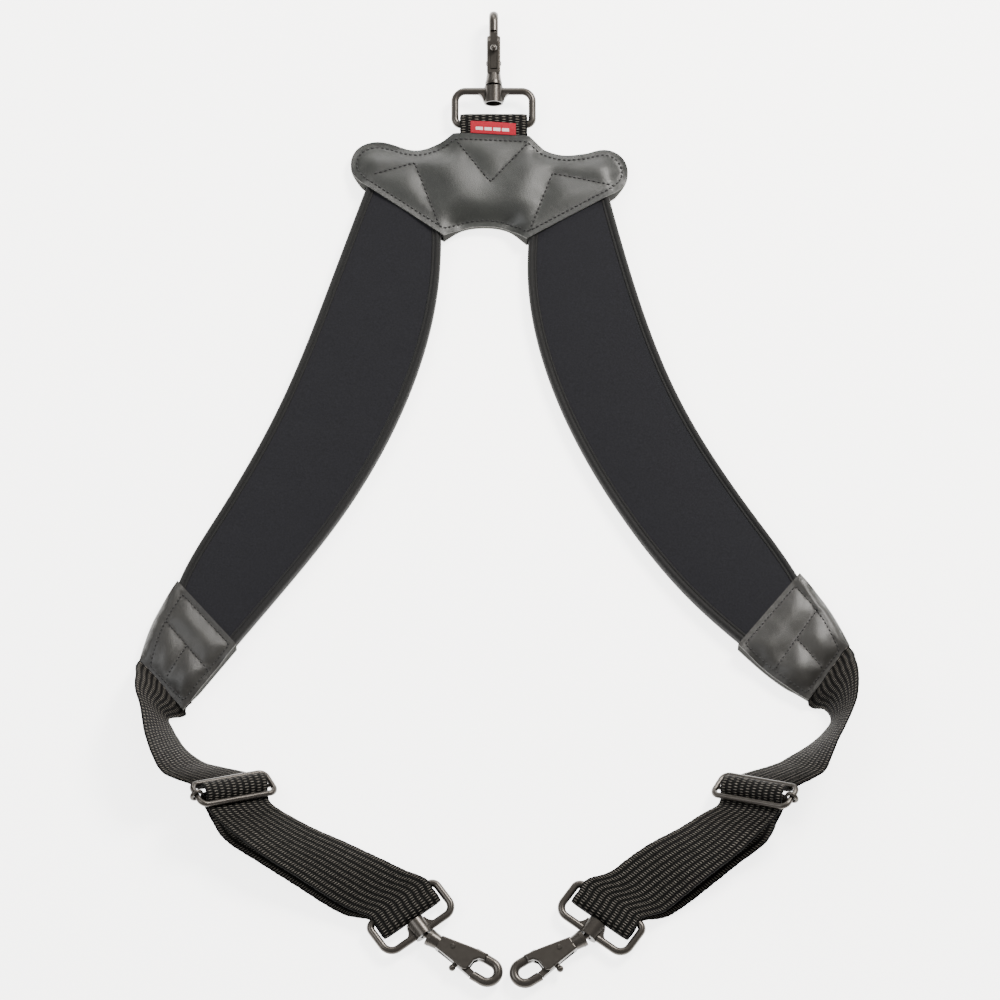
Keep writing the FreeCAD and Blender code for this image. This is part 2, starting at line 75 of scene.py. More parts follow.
# ------------------------------------------------------------------ small maths
def row(points):
    """Points in mm, in the drafting frame, as metres in the row frame."""
    return (np.asarray(points, float) + SHIFT) * MM


def unit(v):
    v = np.asarray(v, float)
    return v / np.linalg.norm(v)


def heading(degrees):
    a = math.radians(degrees)
    return np.array([math.cos(a), math.sin(a), 0.0])


def smoothstep(x):
    x = np.clip(x, 0, 1)
    return x * x * (3 - 2 * x)


def spline(points, step=1.6, count=None):
    """Natural cubic through the points, resampled."""
    p = np.array(points, float)
    t = np.concatenate([[0], np.cumsum(np.linalg.norm(np.diff(p, axis=0), axis=1))])
    h = np.diff(t)
    n = len(p)
    a = np.eye(n)
    b = np.zeros_like(p)
    for i in range(1, n - 1):
        a[i, i - 1:i + 2] = h[i - 1], 2 * (h[i - 1] + h[i]), h[i]
        b[i] = 6 * ((p[i + 1] - p[i]) / h[i] - (p[i] - p[i - 1]) / h[i - 1])
    m = np.linalg.solve(a, b)
    u = np.linspace(0, t[-1], (count or max(2, round(t[-1] / step))) + 1)
    k = np.clip(np.searchsorted(t, u, side="right") - 1, 0, n - 2)
    hk = h[k][:, None]
    f = ((t[k + 1] - u) / h[k])[:, None]
    g = 1 - f
    return f * p[k] + g * p[k + 1] + ((f ** 3 - f) * m[k] + (g ** 3 - g) * m[k + 1]) * hk ** 2 / 6


def straight(a, b, step=1.6):
    n = max(1, round(float(np.linalg.norm(np.subtract(b, a))) / step))
    return np.linspace(a, b, n + 1)


def polyline(corners, step=1.6):
    parts = [straight(a, b, step)[:-1] for a, b in zip(corners, corners[1:])]
    return np.vstack(parts + [np.array([corners[-1]], float)])


def loop(*parts):
    """Closed outline from sides that each start where the one before ends."""
    return np.vstack([p[:-1] for p in parts])


def distance(points, path, closed=False):
    """Distance of each point to a polyline, in the table's plane."""
    a = path if closed else path[:-1]
    b = np.roll(path, -1, axis=0) if closed else path[1:]
    d = b - a
    w = points[:, None, :] - a[None]
    t = np.clip((w * d[None]).sum(2) / np.maximum((d * d).sum(1), 1e-12)[None], 0, 1)
    return np.linalg.norm(w - t[..., None] * d[None], axis=2).min(1)


def inside(points, outline):
    x, y = points[:, 0], points[:, 1]
    result = np.zeros(len(points), bool)
    for (x0, y0), (x1, y1) in zip(outline, np.roll(outline, -1, axis=0)):
        if y0 == y1:
            continue
        crosses = (y0 > y) != (y1 > y)
        result ^= crosses & (x < (x1 - x0) * (y - y0) / (y1 - y0) + x0)
    return result


def outside(points, outlines):
    """Distance out of the nearest of some outlines; 0 inside one."""
    away = np.full(len(points), 1e9)
    for outline in outlines:
        d = distance(points, outline, closed=True)
        d[inside(points, outline)] = 0
        away = np.minimum(away, d)
    return away


def inset(outline, amount):
    """A closed outline, counter-clockwise, moved inwards; crowded points are dropped."""
    ahead = np.roll(outline, -1, axis=0) - np.roll(outline, 1, axis=0)
    normal = np.stack([-ahead[:, 1], ahead[:, 0]], 1) / np.linalg.norm(ahead, axis=1)[:, None]
    moved = outline + normal * amount
    keep = distance(moved, outline, closed=True) > amount * 0.97
    return moved[keep & inside(moved, outline)]


def ccw(outline):
    x, y = outline[:, 0], outline[:, 1]
    area = (x * np.roll(y, -1) - y * np.roll(x, -1)).sum()
    return outline if area > 0 else outline[::-1]


# ------------------------------------------------------------------ materials
class Nodes:
    """Short way to write a procedural material."""

    def __init__(self, name):
        self.material = bpy.data.materials.new(name)
        self.material.use_nodes = True
        self.tree = self.material.node_tree
        self.shader = self.tree.nodes["Principled BSDF"]

    def add(self, kind, **settings):
        node = self.tree.nodes.new(kind)
        for key, value in settings.items():
            setattr(node, key, value)
        return node

    def link(self, source, target):
        self.tree.links.new(source, target)

    def math(self, operation, a, b=0.0):
        node = self.add("ShaderNodeMath", operation=operation)
        for socket, value in zip(node.inputs, (a, b)):
            if isinstance(value, (int, float)):
                socket.default_value = value
            else:
                self.link(value, socket)
        return node.outputs[0]

    def noise(self, vector, scale, detail=3.0, rough=0.5):
        node = self.add("ShaderNodeTexNoise")
        node.inputs["Scale"].default_value = scale
        node.inputs["Detail"].default_value = detail
        node.inputs["Roughness"].default_value = rough
        self.link(vector, node.inputs["Vector"])
        return node.outputs["Fac"]

    def ramp(self, factor, stops):
        node = self.add("ShaderNodeValToRGB")
        elements = node.color_ramp.elements
        while len(elements) < len(stops):
            elements.new(0.5)
        for element, (position, colour) in zip(elements, stops):
            element.position = position
            element.color = (*colour, 1)
        self.link(factor, node.inputs["Fac"])
        return node.outputs["Color"]

    def bump(self, height, strength, depth):
        node = self.add("ShaderNodeBump")
        node.inputs["Strength"].default_value = strength
        node.inputs["Distance"].default_value = depth
        self.link(height, node.inputs["Height"])
        self.link(node.outputs["Normal"], self.shader.inputs["Normal"])

    def set(self, **values):
        for key, value in values.items():
            self.shader.inputs[key.replace("_", " ")].default_value = value


def object_coords(n):
    return n.add("ShaderNodeTexCoord").outputs["Object"]


def leather(name, dark, light):
    n = Nodes(name)
    at = object_coords(n)
    cells = n.add("ShaderNodeTexVoronoi", feature="DISTANCE_TO_EDGE")
    cells.inputs["Scale"].default_value = 1500
    n.link(at, cells.inputs["Vector"])
    grain = n.math("MINIMUM", n.math("MULTIPLY", cells.outputs["Distance"], 3.0), 1.0)
    soft = n.noise(at, 260, 4, 0.6)
    n.bump(n.math("ADD", grain, n.math("MULTIPLY", soft, 1.6)), 0.32, 0.00012)
    n.link(n.ramp(n.noise(at, 60, 3), [(0.3, dark), (0.7, light)]), n.shader.inputs["Base Color"])
    rough = n.math("ADD", n.math("MULTIPLY", n.noise(at, 90, 3), 0.14), 0.34)
    n.link(rough, n.shader.inputs["Roughness"])
    n.set(Coat_Weight=0.05, Coat_Roughness=0.3, Specular_IOR_Level=0.34)
    return n.material


def cloth(name, dark, light, scale, roughness, sheen, depth=0.00012):
    n = Nodes(name)
    at = object_coords(n)
    fine = n.noise(at, scale, 2, 0.7)
    n.bump(fine, 0.5, depth)
    n.link(n.ramp(n.noise(at, scale * 0.8, 3, 0.7), [(0.35, dark), (0.68, light)]),
           n.shader.inputs["Base Color"])
    n.set(Roughness=roughness, Sheen_Weight=sheen, Sheen_Roughness=0.5, Specular_IOR_Level=0.25)
    return n.material


def webbing_material():
    """Weave from the strap's own coordinates: U across and V along, both in units of the width."""
    n = Nodes("webbing_weave")
    uv = n.add("ShaderNodeUVMap", uv_map="weave").outputs["UV"]
    split = n.add("ShaderNodeSeparateXYZ")
    n.link(uv, split.inputs["Vector"])
    across = n.math("MULTIPLY", split.outputs["X"], WEAVE_RIBS)
    column = n.math("FLOOR", across)
    odd = n.math("MULTIPLY", n.math("MODULO", column, 2.0), 0.5)
    along = n.math("ADD", n.math("MULTIPLY", split.outputs["Y"], WEB_WIDTH / WEAVE_PITCH), odd)

    def wave(value, power):
        c = n.math("COSINE", n.math("MULTIPLY", n.math("ADD", value, 0.5), 2 * math.pi))
        return n.math("POWER", n.math("ADD", n.math("MULTIPLY", c, 0.5), 0.5), power)

    rib = wave(across, 0.8)
    dash = wave(along, 2.2)
    strand = wave(n.math("MULTIPLY", across, 4.0), 0.6)
    height = n.math("MULTIPLY", rib, n.math("ADD", n.math("MULTIPLY", dash, 0.8), 0.2))
    height = n.math("ADD", height, n.math("MULTIPLY", strand, 0.16))
    n.bump(height, 1.0, 0.0006)
    at = object_coords(n)
    # Painted highlight: where a rib and a float of the weave peak, the base colour turns lighter, standing in
    # for the glints of the yarn.
    painted_glint = n.math("MULTIPLY", n.math("MULTIPLY", rib, dash), n.noise(at, 900, 2, 0.9))
    colour = n.ramp(painted_glint, [(0.12, (0.0016, 0.0015, 0.0013)), (0.42, (0.105, 0.096, 0.084))])
    n.link(colour, n.shader.inputs["Base Color"])
    n.set(Roughness=0.75, Specular_IOR_Level=0.08)
    return n.material


def metal(name, colour, roughness):
    n = Nodes(name)
    at = object_coords(n)
    n.link(n.math("ADD", n.math("MULTIPLY", n.noise(at, 400, 3), 0.12), roughness - 0.06),
           n.shader.inputs["Roughness"])
    n.bump(n.noise(at, 900, 2), 0.06, 0.0001)
    n.set(Base_Color=(*colour, 1), Metallic=0.85, Coat_Weight=0.15, Coat_Roughness=0.3)
    return n.material


def plain(name, colour, roughness, gloss=0.5):
    n = Nodes(name)
    n.set(Base_Color=(*colour, 1), Roughness=roughness, Specular_IOR_Level=gloss)
    return n.material


LOOK = {
    "yoke": leather("leather_yoke", (0.010, 0.0105, 0.0095), (0.017, 0.018, 0.016)),
    "cap": leather("leather_cap", (0.010, 0.0093, 0.0083), (0.017, 0.016, 0.014)),
    "edge": cloth("cut_edge", (0.06, 0.06, 0.057), (0.15, 0.15, 0.14), 900, 0.9, 0.0),
    "jersey": cloth("pad_jersey", (0.0024, 0.0024, 0.0036), (0.0065, 0.0065, 0.009), 1500, 0.95, 0.07),
    "binding": cloth("edge_binding", (0.003, 0.0029, 0.0028), (0.0065, 0.0062, 0.006), 1800, 0.8, 0.02),
    "thread": plain("thread", (0.002, 0.002, 0.002), 0.7),
    "fold": plain("leather_fold", (0.022, 0.022, 0.020), 0.95, 0.1),
    "webbing": webbing_material(),
    "gunmetal": metal("gunmetal", (0.042, 0.037, 0.032), 0.33),
    "spring": metal("spring_steel", (0.42, 0.40, 0.38), 0.3),
    "tag": cloth("tag_red", (0.19, 0.0015, 0.008), (0.27, 0.004, 0.015), 1600, 0.8, 0.0),
    "tag_white": cloth("tag_white", (0.42, 0.36, 0.36), (0.52, 0.48, 0.48), 1600, 0.8, 0.1),
}


# ------------------------------------------------------------------ meshes
def new_object(name, vertices, faces, looks, uv=None, material_index=None):
    mesh = bpy.data.meshes.new(name)
    mesh.from_pydata([tuple(v) for v in vertices], [], [tuple(map(int, f)) for f in faces])
    for look in looks:
        mesh.materials.append(LOOK[look])
    if material_index is not None:
        mesh.polygons.foreach_set("material_index", np.asarray(material_index, np.int32))
    mesh.polygons.foreach_set("use_smooth", [True] * len(mesh.polygons))
    if uv is not None:
        layer = mesh.uv_layers.new(name="weave")
        corner = np.zeros(len(mesh.loops), np.int32)
        mesh.loops.foreach_get("vertex_index", corner)
        layer.data.foreach_set("uv", np.asarray(uv, np.float32)[corner].ravel())
    mesh.validate()
    mesh.update()
    made = bpy.data.objects.new(name, mesh)
    scene.collection.objects.link(made)
    return made


def on(obj, body, nodes=()):
    """Rides on a body and the CAD nodes that it stands for."""
    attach(obj, body)
    if nodes:
        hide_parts(*nodes)


def relax(heights, faces, pinned, rounds):
    """Evens out small wrinkles: each free height moves towards the mean of its neighbours."""
    links = np.array([(a, b) for f in faces for a, b in zip(f, f[1:] + f[:1])])
    links = np.vstack([links, links[:, ::-1]])
    count = np.bincount(links[:, 0], minlength=len(heights))
    for _ in range(rounds):
        mean = np.bincount(links[:, 0], heights[links[:, 1]], len(heights)) / np.maximum(count, 1)
        heights = np.where(pinned, heights, heights + 0.6 * (mean - heights))
    return heights


def inflate(vertices, faces, pinned, pressure, slack, cap, rounds=6):
    """Blows up a sheet between its sewn vertices by cloth simulation. Metres in and out."""
    mesh = bpy.data.meshes.new("sheet_to_inflate")
    mesh.from_pydata([tuple(v) for v in vertices], [], [tuple(map(int, f)) for f in faces])
    sheet = bpy.data.objects.new("sheet_to_inflate", mesh)
    scene.collection.objects.link(sheet)
    sewn = sheet.vertex_groups.new(name="sewn")
    sewn.add([int(i) for i in np.nonzero(pinned)[0]], 1.0, "REPLACE")
    modifier = sheet.modifiers.new("cloth", "CLOTH")
    settings = modifier.settings
    settings.quality = 6
    settings.mass = 0.15
    settings.tension_stiffness = 20
    settings.compression_stiffness = 20
    settings.shear_stiffness = 8
    settings.bending_stiffness = 4.0
    settings.vertex_group_mass = "sewn"
    settings.use_pressure = True
    settings.uniform_pressure_force = pressure
    settings.shrink_min = -slack
    settings.effector_weights.gravity = 0
    modifier.collision_settings.use_collision = False
    last_frame = 22
    modifier.point_cache.frame_end = last_frame
    for f in range(1, last_frame + 1):
        scene.frame_set(f)
    shown = sheet.evaluated_get(bpy.context.evaluated_depsgraph_get())
    result = np.zeros(len(vertices) * 3)
    shown.data.vertices.foreach_get("co", result)
    result = result.reshape(-1, 3)
    scene.frame_set(1)
    bpy.data.objects.remove(sheet)
    bpy.data.meshes.remove(mesh)
    moved = result - vertices
    far = np.linalg.norm(moved, axis=1)
    limit = cap * np.tanh(far / cap) / np.maximum(far, 1e-9)
    result = vertices + moved * limit[:, None]
    result[:, 2] = relax(result[:, 2], faces, pinned, rounds)
    return result


def cut_sheet(outline, seams, step):
    """Triangles of a flat sheet with vertices on its outline and along its seams."""
    points = [outline] + list(seams)
    edges = [(i, (i + 1) % len(outline)) for i in range(len(outline))]
    start = len(outline)
    for seam in seams:
        edges += [(start + i, start + i + 1) for i in range(len(seam) - 1)]
        start += len(seam)
    lo, hi = outline.min(0), outline.max(0)
    xs = np.arange(lo[0], hi[0], step)
    ys = np.arange(lo[1], hi[1], step * 0.87)
    grid = np.array([(x + (j % 2) * step / 2, y) for j, y in enumerate(ys) for x in xs])
    far = distance(grid, outline, closed=True)
    for seam in seams:
        far = np.minimum(far, distance(grid, seam))
    grid = grid[(far > step * 0.55) & inside(grid, outline)]
    every = np.vstack(points + [grid])
    found = delaunay_2d_cdt([Vector(p) for p in every], edges, [], 1, 1e-4)
    return np.array([tuple(v) for v in found[0]]), [list(f) for f in found[2]]


def boundary(faces):
    """Edges that belong to one face, in that face's direction."""
    seen = {}
    for f in faces:
        for a, b in zip(f, f[1:] + f[:1]):
            seen[(a, b)] = True
    return [(a, b) for a, b in seen if (b, a) not in seen]


def panel(name, outline, seams, height, under, looks, puff=None, step=1.8):
    """Sewn panel: upper face at height(xy), lower face at under(xy, upper). puff inflates the upper face.

    looks are those of the faces, of the cut edge along the top of the walls, and of the walls below it.
    """
    outline = ccw(outline)
    flat, faces = cut_sheet(outline, seams, step)
    turned = []
    for f in faces:
        a, b, c = flat[f[0]], flat[f[1]], flat[f[2]]
        left = (b[0] - a[0]) * (c[1] - a[1]) - (b[1] - a[1]) * (c[0] - a[0]) > 0
        turned.append(f if left else f[::-1])
    z = height(flat)
    vertices = row(np.column_stack([flat, z]))
    if puff:
        sewn = distance(flat, outline, closed=True) < 0.05
        for seam in seams:
            sewn |= distance(flat, seam) < 0.05
        vertices = inflate(vertices, turned, sewn, **puff)
    count = len(flat)
    low = vertices.copy()
    low[:, 2] = under(flat, vertices[:, 2] / MM) * MM
    bottom = [[i + count for i in f[::-1]] for f in turned]
    index = [0] * (len(turned) + len(bottom))
    rim = boundary(turned)
    cut = vertices[[a for a, _ in rim]]
    cut[:, 2] -= np.minimum(CUT_EDGE * MM, 0.6 * (cut[:, 2] - low[[a for a, _ in rim], 2]))
    middle = {a: 2 * count + i for i, (a, _) in enumerate(rim)}
    walls = []
    for a, b in rim:
        walls += [(b, a, middle[a], middle[b]), (middle[b], middle[a], a + count, b + count)]
        index += [1, 2]
    made = new_object(name, np.vstack([vertices, low, cut]), turned + bottom + walls, looks,
                      material_index=index)
    made.data.set_sharp_from_angle(angle=math.radians(50))
    return made


def closed_edge(xy, upper, outline, back, free):
    """Lower face of a panel that is sewn to the back panel along its edge, except over pad and webbing."""
    sewn = (distance(xy, outline, closed=True) < 0.05) & free
    return np.where(sewn, back, upper - PANEL)


def lining_under(_, upper):
    """Lower face of a back panel."""
    return np.maximum(upper - LINING, 0.0)


def surface_of(obj):
    tree = BVHTree.FromPolygons([v.co for v in obj.data.vertices],
                                [p.vertices[:] for p in obj.data.polygons])

    def height(x, y):
        hit = tree.ray_cast(Vector((*row((x, y, 0))[:2], 0.2)), Vector((0, 0, -1)))
        return None if hit[0] is None else hit[0].z / MM

    return height


def stitches(name, paths, surface, pitch=2.8, long=2.0, radius=0.44, closed=()):
    """A row of thread stitches along each path, laid on a surface."""
    vertices, faces = [], []
    profile = [(-1.0, 0.15, -0.25), (-0.75, 0.85, 0.0), (0.0, 1.0, 0.12), (0.75, 0.85, 0.0),
               (1.0, 0.15, -0.25)]
    sides = 6
    for number, path in enumerate(paths):
        if number in closed:
            path = np.vstack([path, path[:1]])
        s = np.concatenate([[0], np.cumsum(np.linalg.norm(np.diff(path, axis=0), axis=1))])
        count = max(1, round(s[-1] / pitch))
        for k in range(count):
            middle = (k + 0.5) * s[-1] / count
            ends = [np.array([np.interp(middle + e * long / 2, s, path[:, i]) for i in (0, 1)])
                    for e in (-1, 1)]
            heights = [surface(*e) for e in ends]
            if None in heights:
                continue
            a, b = [np.array([*e, h]) for e, h in zip(ends, heights)]
            along = unit(b - a)
            side = unit(np.cross(UP, along))
            over = np.cross(along, side)
            start = len(vertices)
            for t, wide, lift in profile:
                centre = (a + b) / 2 + along * t * long / 2 + over * (lift + 0.08)
                for q in range(sides):
                    angle = 2 * math.pi * q / sides
                    offset = side * math.cos(angle) * wide * radius * 1.2
                    offset = offset + over * math.sin(angle) * wide * radius
                    vertices.append(centre + offset)
            for ring in range(len(profile) - 1):
                for q in range(sides):
                    r0 = start + ring * sides
                    q1 = (q + 1) % sides
                    faces.append((r0 + q, r0 + q1, r0 + sides + q1, r0 + sides + q))
            faces.append([start + q for q in range(sides)][::-1])
            faces.append([start + (len(profile) - 1) * sides + q for q in range(sides)])
    return new_object(name, row(vertices), faces, ["thread"])


# ------------------------------------------------------------------ webbing straps
def station(x, y, z, outer, roll):
    """Centre of the strap and the direction of its outer edge, rolled up."""
    a = math.radians(roll)
    return np.array([x, y, z], float), heading(outer) * math.cos(a) + UP * math.sin(a)


def refine(stations, step=1.5):
    result = []
    last = len(stations) - 1
    for i in range(last):
        four = [stations[max(i - 1, 0)], stations[i], stations[i + 1], stations[min(i + 2, last)]]
        n = max(1, round(np.linalg.norm(four[2][0] - four[1][0]) / step))
        for k in range(n):
            t = k / n
            mixed = []
            for j in (0, 1):
                p0, p1, p2, p3 = [s[j] for s in four]
                m1, m2 = (p2 - p0) / 2, (p3 - p1) / 2
                mixed.append(p1 * (2 * t ** 3 - 3 * t ** 2 + 1) + p2 * (3 * t ** 2 - 2 * t ** 3)
                             + m1 * (t ** 3 - 2 * t ** 2 + t) + m2 * (t ** 3 - t ** 2))
            result.append((mixed[0], unit(mixed[1])))
    return result + [stations[last]]


def strap(name, stations, wave=0.0, wave_at=(0.3, 0.6), width=WEB_WIDTH, thick=1.5):
    """Webbing through the stations. wave lifts one edge a little between two shares of the length."""
    stations = refine(stations)
    centres = np.array([s[0] for s in stations])
    length = np.concatenate([[0], np.cumsum(np.linalg.norm(np.diff(centres, axis=0), axis=1))])
    half = 14
    ring = []
    for k in range(half + 1):
        s = -1 + 2 * k / half
        ring.append((s, 0.5 * (1 - 0.55 * abs(s) ** 14)))
    ring = ring + [(s, -t) for s, t in ring[::-1]]
    vertices, uv = [], []
    last = len(stations) - 1
    for i, (centre, across) in enumerate(stations):
        along = stations[min(i + 1, last)][0] - stations[max(i - 1, 0)][0]
        face = unit(np.cross(along, across))
        if face[2] < -0.2 and i == 0:
            face = -face
        share = length[i] / length[-1]
        lift = wave * math.sin(math.pi * np.clip((share - wave_at[0]) / (wave_at[1] - wave_at[0]), 0, 1)) ** 2
        ragged = 0.12 * math.sin(length[i] * 2.1) + 0.08 * math.sin(length[i] * 0.73)
        for s, t in ring:
            bow = lift * max(0.0, -s) ** 2
            vertices.append(centre + across * s * (width / 2 + ragged) + face * (t * thick + bow))
            uv.append((0.5 + s / 2, length[i] / width))
    n = len(ring)
    faces = []
    for i in range(last):
        for k in range(n):
            k1 = (k + 1) % n
            faces.append((i * n + k, i * n + k1, (i + 1) * n + k1, (i + 1) * n + k))
    faces.append(list(range(n))[::-1])
    faces.append([last * n + k for k in range(n)])
    made = new_object(name, row(vertices), faces, ["webbing"], uv=uv)
    outwards(made)
    made.data.set_sharp_from_angle(angle=math.radians(60))
    return made


def outwards(obj):
    """Turns a closed mesh's faces outwards if its volume is negative."""
    mesh = obj.data
    volume = 0.0
    for p in mesh.polygons:
        corners = [mesh.vertices[i].co for i in p.vertices]
        for b, c in zip(corners[1:], corners[2:]):
            volume += corners[0].dot(b.cross(c))
    if volume < 0:
        mesh.flip_normals()


class Slider:
    """Frame of an adjuster: depth along the webbing, across it, and normal up."""

    def __init__(self, centre, outer, roll, front, pitch):
        self.centre = np.array(centre, float)
        self.across = station(0, 0, 0, outer, roll)[1]
        flat = heading(front)
        up = np.cross(self.across, flat)
        if up[2] < 0:
            up = -up
        a = math.radians(pitch)
        self.depth = flat * math.cos(a) + up * math.sin(a)
        self.normal = up * math.cos(a) - flat * math.sin(a)

    def at(self, depth, rise):
        return self.centre + self.depth * depth + self.normal * rise, self.across


def ring_fold(bar, ahead, across, slack=8.0, radius=FOLD_RADIUS):
    """Stations of webbing round the ring's bar, from the upper layer to the lower one."""
    bar = np.array(bar, float)
    result = [(bar - ahead * 3 + UP * radius, across), (bar + ahead * slack * 0.5 + UP * radius, across)]
    for degrees in (90, 60, 30, 0, -30, -60, -90):
        a = math.radians(degrees)
        result.append((bar + ahead * (slack + radius * math.cos(a)) + UP * radius * math.sin(a), across))
    result += [(bar + ahead * slack * 0.5 - UP * radius, across), (bar - ahead * 3 - UP * radius, across)]
    return result


def front_straps(side, fixed, slider, upper, lower, bar, ring_heading):
    ahead = heading(ring_heading)
    across = np.cross(UP, ahead)
    if np.dot(across, upper[0][1]) < 0:
        across = -across
    through = [(-10.2, -3.2), (-7.6, -2.9), (-4.7, -0.4), (-4.6, 2.6), (-2.6, 4.4), (0.6, 4.3), (3.6, 2.2),
               (4.8, -0.4), (7.2, -2.7)]
    first = fixed + [slider.at(d, n) for d, n in through]
    cap_strap = strap(side + "_strap_from_cap", first)
    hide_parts(side + "_web_fixed_run")
    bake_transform(cap_strap)

    second = [slider.at(7.4, -2.9), slider.at(12.0, -3.6)] + upper
    second += ring_fold(bar, ahead, across) + lower
    second += [slider.at(d, n) for d, n in ((12.5, -6.8), (7.8, -6.2), (4.0, -5.6))]
    for degrees in (-90, -135, 180, 135, 90, 50):
        a = math.radians(degrees)
        second.append(slider.at(2.1 * math.cos(a), -2.75 + 2.1 * math.sin(a)))
    ring_strap = strap(side + "_strap_round_ring", second, wave=1.2, wave_at=(0.14, 0.36),
                       width=RING_WEB_WIDTH)
    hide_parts(*[side + n for n in ("_web_upper_run", "_web_lower_run", "_web_ring_loop")])
    start = slider.at(12, -3)[0]
    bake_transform(ring_strap)


# ------------------------------------------------------------------ pads
def side_curves(outer, inner, count=130):
    return spline(outer, count=count), spline(inner, count=count)


def inset_line(line, side, amount):
    ahead = np.gradient(line, axis=0)
    normal = np.stack([-ahead[:, 1], ahead[:, 0]], 1) / np.linalg.norm(ahead, axis=1)[:, None]
    return line + normal * side * amount


def flattened(line):
    """Share of its thickness that the pad keeps at each point; its end is squashed inside the cap."""
    left = np.concatenate([np.cumsum(np.linalg.norm(np.diff(line[::-1], axis=0), axis=1))[::-1], [0]])
    return 0.42 + 0.58 * smoothstep((left - 6) / 22)


def swept(name, line, side, profile, look):
    """A closed profile of (inwards, z) swept along an edge of the pad."""
    share = flattened(line)
    n = len(profile)
    vertices = []
    for s, z in profile:
        xy = inset_line(line, side, s)
        vertices.append(np.column_stack([xy, PAD_BASE + (z - PAD_BASE) * share]))
    vertices = np.stack(vertices, 1).reshape(-1, 3)
    rows = len(line)
    faces = []
    for i in range(rows - 1):
        for k in range(n):
            k1 = (k + 1) % n
            faces.append((i * n + k, i * n + k1, (i + 1) * n + k1, (i + 1) * n + k))
    faces.append(list(range(n))[::-1])
    faces.append([(rows - 1) * n + k for k in range(n)])
    made = new_object(name, row(vertices), faces, [look])
    outwards(made)
    return made


def pad(name, outer_points, inner_points, side):
    outer, inner = side_curves(outer_points, inner_points)
    o_in = inset_line(outer, side, BINDING - 0.2)
    i_in = inset_line(inner, -side, BINDING - 0.2)
    columns = 22
    rows = len(outer)
    grid = np.stack([o_in + (i_in - o_in) * k / columns for k in range(columns + 1)], 1)
    flat = grid.reshape(-1, 2)
    width = columns + 1
    s = np.abs(np.tile(np.linspace(-1, 1, width), rows))
    share = np.repeat(flattened((outer + inner) / 2), width)
    z = PAD_BASE + (PAD_RISE + PAD_CROWN * (1 - s ** 6)) * share
    top = row(np.column_stack([flat, z]))
    faces = []
    for i in range(rows - 1):
        for k in range(columns):
            quad = [i * width + k, i * width + k + 1, (i + 1) * width + k + 1, (i + 1) * width + k]
            faces.append(quad[::-1] if side > 0 else quad)
    a, b, c = (top[faces[0][i]] for i in range(3))
    if np.cross(b - a, c - a)[2] < 0:
        faces = [f[::-1] for f in faces]
    sewn = (s > 0.999) | (np.repeat(np.arange(rows), width) < 1)
    sewn |= np.repeat(np.arange(rows), width) > rows - 2
    top = inflate(top, faces, sewn, pressure=2.0, slack=0.0005, cap=0.0009)
    low = top.copy()
    low[:, 2] = PAD_BASE * MM
    n = len(top)
    walls = [(q, p, p + n, q + n) for p, q in boundary(faces)]
    everything = faces + [[i + n for i in f[::-1]] for f in faces] + walls
    made = new_object(name + "_pad", np.vstack([top, low]), everything, ["jersey"])
    made.data.set_sharp_from_angle(angle=math.radians(50))
    on(made, HARNESS, [name + n for n in ("_pad_core", "_pad_face", "_pad_lining")])

    bead = [(0.55, PAD_BASE), (0.15, 2.6), (0.0, 4.6), (0.1, 6.6), (0.5, 8.0), (1.2, 8.9), (2.1, 9.25),
            (2.9, 9.1)]
    bead += [(3.5, 8.55), (3.75, 8.2), (4.0, 8.5), (4.5, 8.8), (5.0, 8.6), (5.35, 8.0), (BINDING, 7.0),
             (BINDING, PAD_BASE)]
    for part, line, way, nodes in (("outer", outer, side, [name + "_pad_binding"]),
                                   ("inner", inner, -side, [])):
        edge = swept("%s_binding_%s" % (name, part), line, way, bead, "binding")
        on(edge, HARNESS, nodes)
    return np.vstack([outer, inner[::-1]])


# ------------------------------------------------------------------ build: pads
LEFT_OUTER = [(-70, 192), (-93.5, 123), (-120, 50.5), (-156.5, -21), (-176.5, -60), (-185, -96.5)]
LEFT_INNER = [(-34, 190), (-33, 123), (-50.5, 50.5), (-87.5, -21), (-121.5, -67), (-163.5, -120)]
RIGHT_OUTER = [(58.5, 190), (75.5, 123), (101, 50.5), (143, -21), (166, -57), (180, -88.5)]
RIGHT_INNER = [(22, 188), (16.5, 123), (32.5, 50.5), (69.5, -21), (106, -68.5), (158.5, -115.5)]
PADS = {"left": pad("left", LEFT_OUTER, LEFT_INNER, 1), "right": pad("right", RIGHT_OUTER, RIGHT_INNER, -1)}


